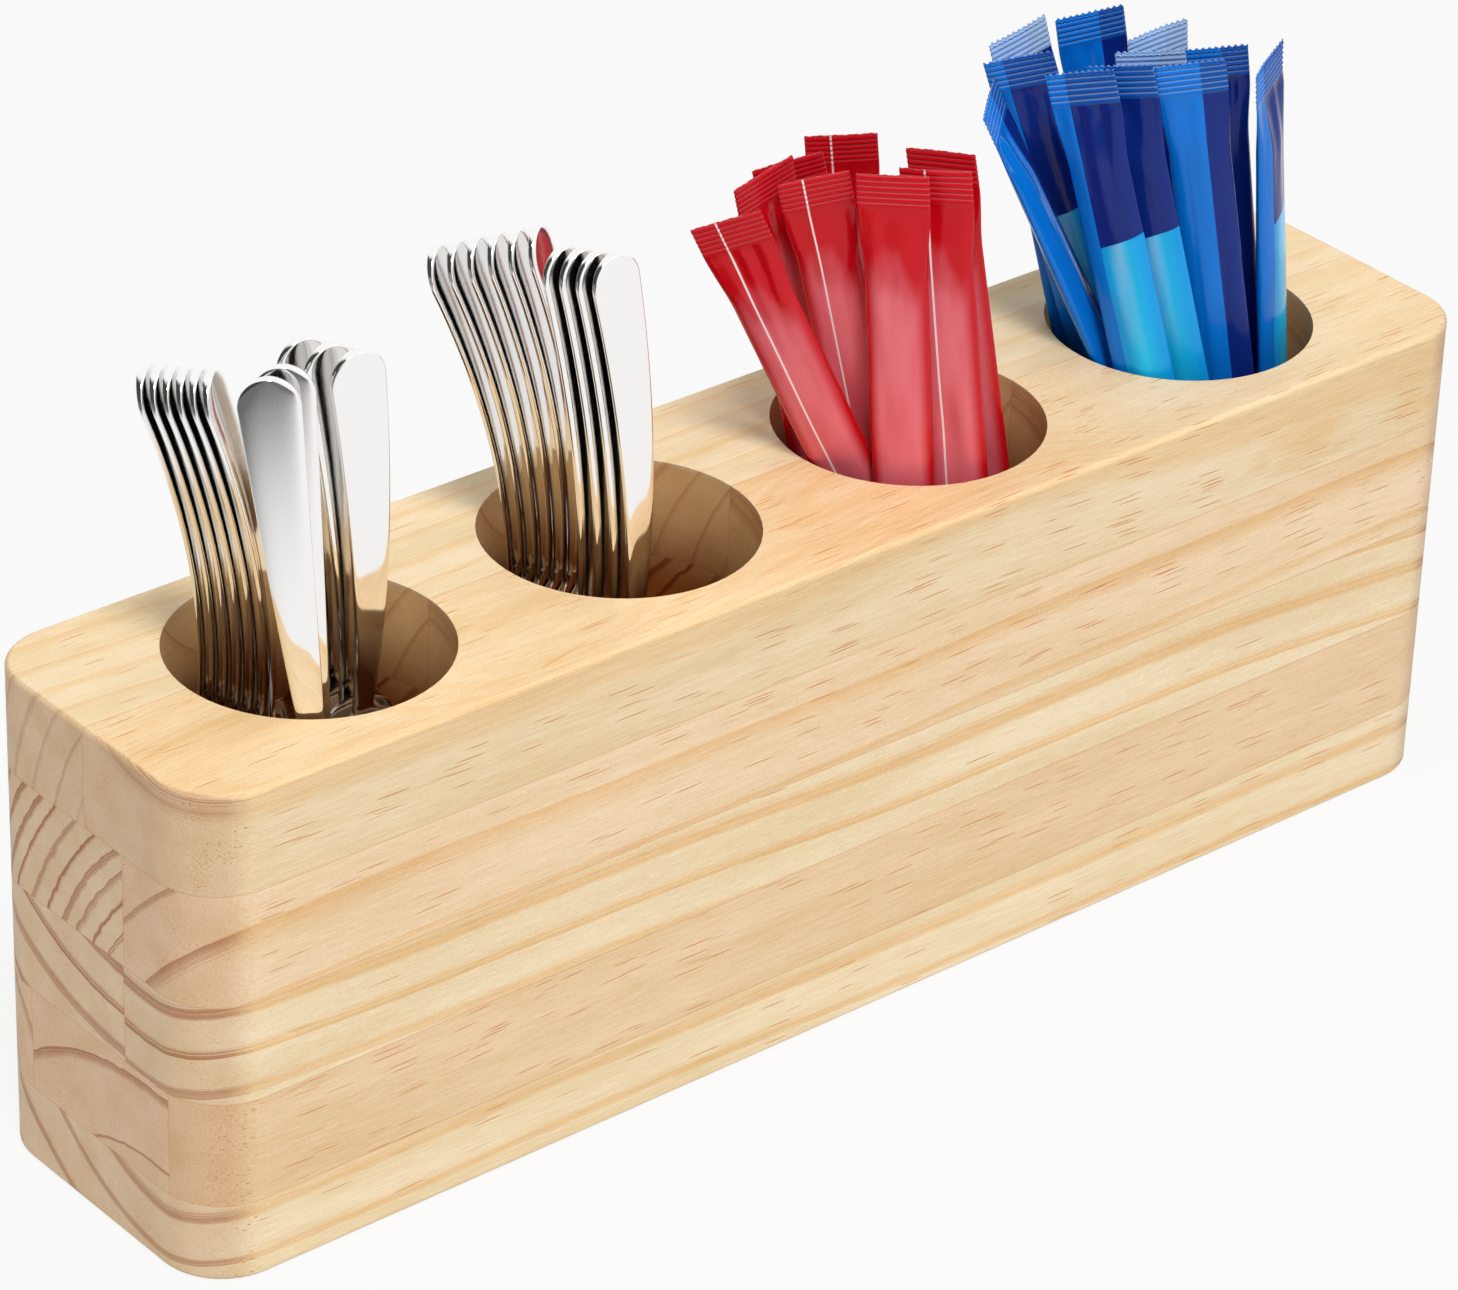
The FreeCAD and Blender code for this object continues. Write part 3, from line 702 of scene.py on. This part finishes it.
def sachet_rings(look, total, seed, toothed, seam, seam_side):
    """Rings of points round a stick sachet, from its lower seal to its upper one.

    A ring is a lens, flat at the seals and swollen between them, emptier towards the top.
    Pleats fan out of each seal and die away along the film, soft dents lie where the sugar
    has settled, ribs cross the seals, and a toothed sachet's top edge is a row of teeth. On
    one side the film laps over itself: it stands out by the lap up to the seam's share.
    The second result gives each point's share of the half width, side and height.
    """
    chance = np.random.default_rng(seed)
    seal, shoulder = look.seal_length / MM, look.shoulder / MM
    crimp = np.linspace(0, seal, RIB_RINGS * look.ribs + 1)
    stations = np.concatenate([crimp, np.linspace(seal, total - seal, FILM_RINGS)[1:-1],
                               total - crimp[::-1]])
    height = stations[:, None]
    turn = np.linspace(0, 1, FILM_POINTS, endpoint=False)[None, :]
    straight = 1 - 4 * np.minimum(turn, 1 - turn)
    share = 0.7 * straight + 0.3 * np.cos(2 * np.pi * turn)
    side = np.sign(0.5 - turn) * np.sqrt(np.clip(1 - share ** 2, 0, 1))

    swell = smooth(height, seal, seal + shoulder) * smooth(total - height, seal, seal + shoulder)
    empty = EMPTIED * smooth(height, 0.45 * total, 0.85 * total)
    x = (FLAT_HALF - DRAWN_IN * swell) * share
    half_thick = look.seal_thickness / MM / 2 + FULL_HALF * swell * (1 - empty)
    lens = np.sign(side) * np.abs(side) ** (SEAL_POWER + POWER_GROWTH * swell)
    y = half_thick * lens

    inside = smooth(height, seal, seal + 3) * smooth(total - height, seal, seal + 3)
    low_reach, high_reach = PLEAT_REACH
    fade = np.exp(-(height - seal) / low_reach) + np.exp(-(total - seal - height) / high_reach)
    for _ in range(PLEATS):
        count, phase = chance.uniform(1.5, 4.0), chance.uniform(0, 6.3)
        drift = chance.uniform(-0.04, 0.04)
        pleat = np.cos(count * np.pi * share + phase + drift * height)
        y += PLEAT_DEPTH * inside * fade * pleat
    for _ in range(DENTS):
        spot = chance.uniform(DENT_MARGIN, total - DENT_MARGIN)
        way = chance.uniform(-0.7, 0.7)
        size, depth = chance.uniform(5, 14), chance.uniform(0.05, 0.22)
        dent = np.exp(-((height - spot) / size) ** 2 - ((share - way) / DENT_HALF) ** 2)
        y -= depth * half_thick * dent * lens

    lap = smooth(share, seam + 0.03, seam - 0.03) * smooth(share, seam - 0.75, seam - 0.55)
    y += look.lap / MM * lap * inside * seam_side * (np.sign(side) == seam_side)
    crimped = smooth(height, seal, seal - 0.6) + smooth(height, total - seal, total - seal + 0.6)
    rib = np.sin(2 * np.pi * height / (seal / look.ribs))
    y += look.rib_depth / MM * crimped * rib
    curl = chance.uniform(-0.35, 0.35) * np.cos(np.pi * share * 0.7 + chance.uniform(-1, 1))
    y += curl * np.clip((height - total + seal) / seal, 0, 1) ** 2

    z = height + np.zeros_like(x)
    if toothed:
        cut = look.tooth_depth / MM * np.abs((share * look.teeth + seed * 0.37) % 2 - 1)
    else:
        cut = 0.10 + 0.10 * np.sin(share * 23 + seed) * np.sin(share * 9.1)
    z -= cut * smooth(height, total - 1.8, total)
    marks = np.stack([share + np.zeros_like(x), side + np.zeros_like(x), z], -1)
    return np.stack([x, y, z], -1), marks


def plain_film(name, look, total):
    """A film with no paint yet: a place on it, where its seals are and where their ribs are."""
    recipe = Recipe(bpy.data.materials.new(name))
    place = recipe.node("ShaderNodeAttribute", {}, "Vector", attribute_name="place")
    share, side, height = recipe.parts(place)
    seal = look.seal_length / MM
    top = recipe.step(height, total - seal - 0.3, total - seal + 0.1)
    bottom = recipe.step(height, seal + 0.3, seal - 0.1)
    waves = recipe.math("SINE", recipe.math("MULTIPLY", height, 2 * math.pi * look.ribs / seal))
    seals = recipe.math("MAXIMUM", top, bottom)
    ribs = recipe.math("MULTIPLY", recipe.step(waves, 0.3, 0.9), seals)
    return Film(recipe, place, share, side, height, seals, ribs)


def painted(film, paint):
    """Finish a glossy printed film in the paint given, with fine lengthwise wrinkles."""
    recipe = film.recipe
    wrinkles = recipe.noise(recipe.scaled(film.place, WRINKLE_SCALE), 3.0)
    fine = recipe.noise(recipe.scaled(film.place, FINE_WRINKLE_SCALE), 2.0)
    finish = {"Base Color": paint, "Roughness": recipe.line(film.seals, 0.14, 0.16),
              "Specular IOR Level": 0.18, "Coat Weight": 0.06, "Coat Roughness": 0.10}
    for name, value in finish.items():
        recipe.feed(recipe.shader.inputs[name], value)
    height = recipe.math("ADD", wrinkles, recipe.math("MULTIPLY", fine, FINE_SHARE))
    recipe.bump(height, WRINKLE_HEIGHT, 0.35)
    return recipe.owner


def red_film(look, total, lined):
    """Red film: a darker band at the top, a soft paler panel below that is partly a painted
    highlight, and a thin white line.
    """
    film = plain_film("red_film_lined" if lined else "red_film", look, total)
    recipe = film.recipe
    blur = recipe.noise(recipe.scaled(film.place, BLUR_SCALE), 1.0)
    start = recipe.line(blur, ROSE_WANDER, total - look.seal_length / MM - ROSE_DROP)
    below = recipe.step(recipe.math("SUBTRACT", start, film.height), *ROSE_EDGE)
    # Painted highlight: the panel fades towards the sides, so its middle is brightest.
    inner = recipe.step(recipe.math("ABSOLUTE", film.share), *ROSE_SIDES)
    patches = recipe.line(recipe.step(blur, 0.25, 0.65), 0.35, 0.65)
    paint = recipe.mix(recipe.product(below, inner, patches), look.red, look.rose_and_highlight)
    paint = recipe.mix(recipe.math("MULTIPLY", film.ribs, RED_RIBS), paint, look.rose_and_highlight)
    if lined:
        line = recipe.product(recipe.step(recipe.apart(film.share, RED_SEAM), *LINE_EDGE),
                              recipe.step(film.side, 0.0, -0.1))
        paint = recipe.mix(line, paint, LINE_WHITE)
    return painted(film, paint)


def blue_film(look, total, panel_side, pale_seal):
    """Blue film: navy over most of the front, mid-blue at its side, a pale lower panel with a
    painted highlight down its middle and painted glints in streaks.

    panel_side is -1 where the panel faces the front, 1 where it faces the back, so that the
    front shows the plain back of the film, split lengthwise between the two darker blues.
    """
    kind = ("panel" if panel_side < 0 else "plain") + ("_pale" if pale_seal else "")
    film = plain_film("blue_film_" + kind, look, total)
    recipe, share = film.recipe, film.share
    facing = recipe.math("GREATER_THAN", recipe.math("MULTIPLY", film.side, panel_side), 0.0)
    fronts = recipe.math("GREATER_THAN", share, NAVY_FROM)
    front = recipe.mix(fronts, look.blue, look.navy)
    back = recipe.mix(recipe.math("LESS_THAN", share, BLUE_SEAM), look.navy, look.blue)
    paint = recipe.mix(facing, back, front)

    edge = recipe.line(share, SKY_RISE, SKY_TOP * total)
    below = recipe.step(recipe.math("SUBTRACT", edge, film.height), -SKY_EDGE, SKY_EDGE)
    # Painted highlight: the sky panel is paler in its middle, and pale streaks paint glints along
    # the creases.
    painted_highlight = recipe.step(recipe.apart(share, 0.25), 0.75, 0.0)
    sky = recipe.mix(recipe.line(painted_highlight, 0.6, 0.4), look.blue, look.sky)
    painted_glint = recipe.step(recipe.apart(share, 0.1), 0.4, 0.0)
    patches = recipe.noise(recipe.scaled(film.place, STREAK_SCALE), 1.0)
    sky = recipe.mix(recipe.product(painted_glint, recipe.step(patches, 0.35, 0.7), 0.6), sky, look.pale)
    paint = recipe.mix(recipe.product(below, fronts, facing), paint, sky)

    seal_paint, seal_depth = (look.pale, 0.75) if pale_seal else (look.blue, 0.4)
    paint = recipe.mix(recipe.math("MULTIPLY", film.seals, seal_depth), paint, seal_paint)
    paint = recipe.mix(recipe.math("MULTIPLY", film.ribs, BLUE_RIBS), paint, look.pale)
    return painted(film, paint)


def stand_sachet(name, form, total, film):
    """Stand a sachet of the rings and marks given in place of its node."""
    rings, marks = form
    piece = tube_mesh("filled_" + name, stood(rings, upright(total), name), marks)
    piece.data.materials.append(film)
    fit(piece, name)


# ---------------------------------------------------------------------------- operators

class DISPENSER_OT_finish_block(bpy.types.Operator):
    """Give every stave of the block its own grain"""
    bl_idname = "dispenser.finish_block"
    bl_label = "Finish the block"

    def execute(self, context):
        look = context.scene.dispenser_wood
        for seed, (name, grain) in enumerate(GRAINS.items(), start=1):
            stave = frame["nodes"][name]
            stave.data.materials.clear()
            stave.data.materials.append(pine(name, grain, look, seed))
        return {"FINISHED"}


class DISPENSER_OT_stand_spoons(bpy.types.Operator):
    """Stand the polished spoons in the first two wells"""
    bl_idname = "dispenser.stand_spoons"
    bl_label = "Stand the spoons"

    def execute(self, context):
        look = context.scene.dispenser_spoons
        steel = polished_steel(look)
        rings = spoon_rings(look)
        form = bearing(ring_triangles(rings), (0, 0, 1), (1, 0, 0))
        for name in SPOONS:
            piece = tube_mesh("polished_" + name, stood(rings, form, name), rings)
            piece.data.materials.append(steel)
            fit(piece, name)
        return {"FINISHED"}


class DISPENSER_OT_stand_red_sachets(bpy.types.Operator):
    """Stand the red sachets in the third well"""
    bl_idname = "dispenser.stand_red_sachets"
    bl_label = "Stand the red sachets"

    def execute(self, context):
        look = context.scene.dispenser_sachets
        total = height_of(RED_SACHETS[0])
        plain, lined = (red_film(look, total, drawn) for drawn in (False, look.lined))
        for seed, name in enumerate(RED_SACHETS, start=1):
            side, film = (-1, lined) if name in LINED else (1, plain)
            form = sachet_rings(look, total, seed, False, RED_SEAM, side)
            stand_sachet(name, form, total, film)
        return {"FINISHED"}


class DISPENSER_OT_stand_blue_sachets(bpy.types.Operator):
    """Stand the blue sachets in the fourth well"""
    bl_idname = "dispenser.stand_blue_sachets"
    bl_label = "Stand the blue sachets"

    def execute(self, context):
        look = context.scene.dispenser_sachets
        total = height_of(BLUE_SACHETS[0])
        films = {(side, seal): blue_film(look, total, side, seal)
                 for side in (-1, 1) for seal in (False, True)}
        for seed, name in enumerate(BLUE_SACHETS, start=31):
            side = -1 if name in PANEL_FRONT else 1
            form = sachet_rings(look, total, seed, True, BLUE_SEAM, -side)
            stand_sachet(name, form, total, films[side, name in PALE_SEALED])
        return {"FINISHED"}


def lamp(name, place, size, power):
    """A square soft lamp that looks at the middle of the block."""
    light = bpy.data.lights.new(name, "AREA")
    light.size, light.energy = size, power
    stand = bpy.data.objects.new(name, light)
    stand.location = place
    gaze = Vector(LAMP_TARGET) - Vector(place)
    stand.rotation_euler = gaze.to_track_quat("-Z", "Y").to_euler()
    bpy.context.scene.collection.objects.link(stand)


def seen_white(recipe, lit, place):
    """Show white to the camera and to glass, and to gloss a studio that is dark on the left.

    lit is what lights the object. place is where a reflected ray ends: a point of the floor,
    in metres, or a direction of the sky. Only its first number counts, to the right.
    """
    path = recipe.source("ShaderNodeLightPath")
    seen = recipe.math("MAXIMUM", path["Is Camera Ray"], path["Is Transmission Ray"])
    share = recipe.math("MAXIMUM", seen, path["Is Glossy Ray"])
    (dark, dark_to), (bright, bright_from) = STUDIO_LEFT, STUDIO_RIGHT
    studio = recipe.node("ShaderNodeMapRange", {
        "Value": recipe.parts(place)[0], "From Min": dark_to, "From Max": bright_from,
        "To Min": dark, "To Max": bright}, interpolation_type="SMOOTHSTEP")
    strength = recipe.node("ShaderNodeMix", {0: seen, 2: studio, 3: 1.0})
    white = recipe.node("ShaderNodeEmission", {"Strength": strength})
    return recipe.node("ShaderNodeMixShader", {0: share, 1: lit, 2: white})


def pale_floor(look):
    """A wide matt floor, which looks nearly white and keeps the shadow of the block."""
    half = FLOOR_HALF
    mesh = bpy.data.meshes.new("floor")
    corners = [(-half, -half, 0), (half, -half, 0), (half, half, 0), (-half, half, 0)]
    mesh.from_pydata(corners, [], [(0, 1, 2, 3)])
    floor = bpy.data.objects.new("floor", mesh)
    bpy.context.scene.collection.objects.link(floor)
    recipe = Recipe(bpy.data.materials.new("floor"))
    recipe.feed(recipe.shader.inputs["Base Color"], rgba(look.floor))
    recipe.feed(recipe.shader.inputs["Roughness"], 0.9)
    matt = recipe.shader.outputs[0]
    white = seen_white(recipe, matt, recipe.source("ShaderNodeTexCoord")["Object"])
    shown = recipe.node("ShaderNodeMixShader", {0: FLOOR_WHITENESS, 1: matt, 2: white})
    recipe.feed(recipe.tree.nodes["Material Output"].inputs[0], shown)
    mesh.materials.append(recipe.owner)


def white_world(look):
    """Soft light all round, seen as white."""
    world = bpy.context.scene.world or bpy.data.worlds.new("studio")
    bpy.context.scene.world = world
    recipe = Recipe(world)
    soft = recipe.tree.nodes["Background"]
    recipe.feed(soft.inputs["Color"], (1, 1, 1, 1))
    recipe.feed(soft.inputs["Strength"], look.sky_light)
    direction = recipe.source("ShaderNodeTexCoord")["Generated"]
    recipe.feed(recipe.tree.nodes["World Output"].inputs[0],
                seen_white(recipe, soft.outputs[0], direction))


def camera(look):
    """The camera at its place, turned by its azimuth, its fall below level and its roll."""
    lens = bpy.data.cameras.new("camera")
    lens.lens, lens.sensor_width = look.lens, 36.0
    lens.clip_start, lens.clip_end = 0.05, 30.0
    stand = bpy.data.objects.new("camera", lens)
    turn = (Matrix.Rotation(math.radians(-CAMERA_AZIMUTH), 4, "Z")
            @ Matrix.Rotation(math.radians(90 - CAMERA_FALL), 4, "X")
            @ Matrix.Rotation(math.radians(CAMERA_ROLL), 4, "Z"))
    stand.matrix_world = Matrix.Translation(CAMERA_PLACE) @ turn
    bpy.context.scene.collection.objects.link(stand)
    bpy.context.scene.camera = stand


class DISPENSER_OT_set_stage(bpy.types.Operator):
    """Set up the floor, the lamps and the camera"""
    bl_idname = "dispenser.set_stage"
    bl_label = "Set the stage"

    def execute(self, context):
        look = context.scene.dispenser_stage
        pale_floor(look)
        white_world(look)
        lamp("key_lamp", *KEY_LAMP, look.key_power)
        lamp("fill_lamp", *FILL_LAMP, look.fill_power)
        camera(look)
        context.scene.view_settings.view_transform = "Standard"
        return {"FINISHED"}


OPERATORS = (DISPENSER_OT_finish_block, DISPENSER_OT_stand_spoons,
             DISPENSER_OT_stand_red_sachets, DISPENSER_OT_stand_blue_sachets,
             DISPENSER_OT_set_stage)
LOOKS = {"dispenser_wood": WoodLook, "dispenser_spoons": SpoonLook,
         "dispenser_sachets": SachetLook, "dispenser_stage": StageLook}


class DISPENSER_PT_panel(bpy.types.Panel):
    """Lists the steps that dress the dispenser"""
    bl_idname = "DISPENSER_PT_panel"
    bl_label = "Cutlery dispenser"
    bl_space_type = "VIEW_3D"
    bl_region_type = "UI"
    bl_category = "Dispenser"

    def draw(self, context):
        for operator in OPERATORS:
            self.layout.operator(operator.bl_idname)
        for name, group in LOOKS.items():
            box = self.layout.box()
            box.label(text=group.__doc__)
            for key in group.__annotations__:
                box.prop(getattr(context.scene, name), key)


def register():
    """Register the classes and put their sizes and colours on the scene."""
    for group in LOOKS.values():
        bpy.utils.register_class(group)
    for name, group in LOOKS.items():
        setattr(bpy.types.Scene, name, PointerProperty(type=group))
    for kind in (*OPERATORS, DISPENSER_PT_panel):
        bpy.utils.register_class(kind)


def unregister():
    """Take the classes and their settings off again."""
    for kind in (DISPENSER_PT_panel, *reversed(OPERATORS)):
        bpy.utils.unregister_class(kind)
    for name in LOOKS:
        delattr(bpy.types.Scene, name)
    for group in reversed(LOOKS.values()):
        bpy.utils.unregister_class(group)


def main():
    register()
    for operator in OPERATORS:
        group, step = operator.bl_idname.split(".")
        getattr(getattr(bpy.ops, group), step)()


if __name__ == "__main__":
    main()
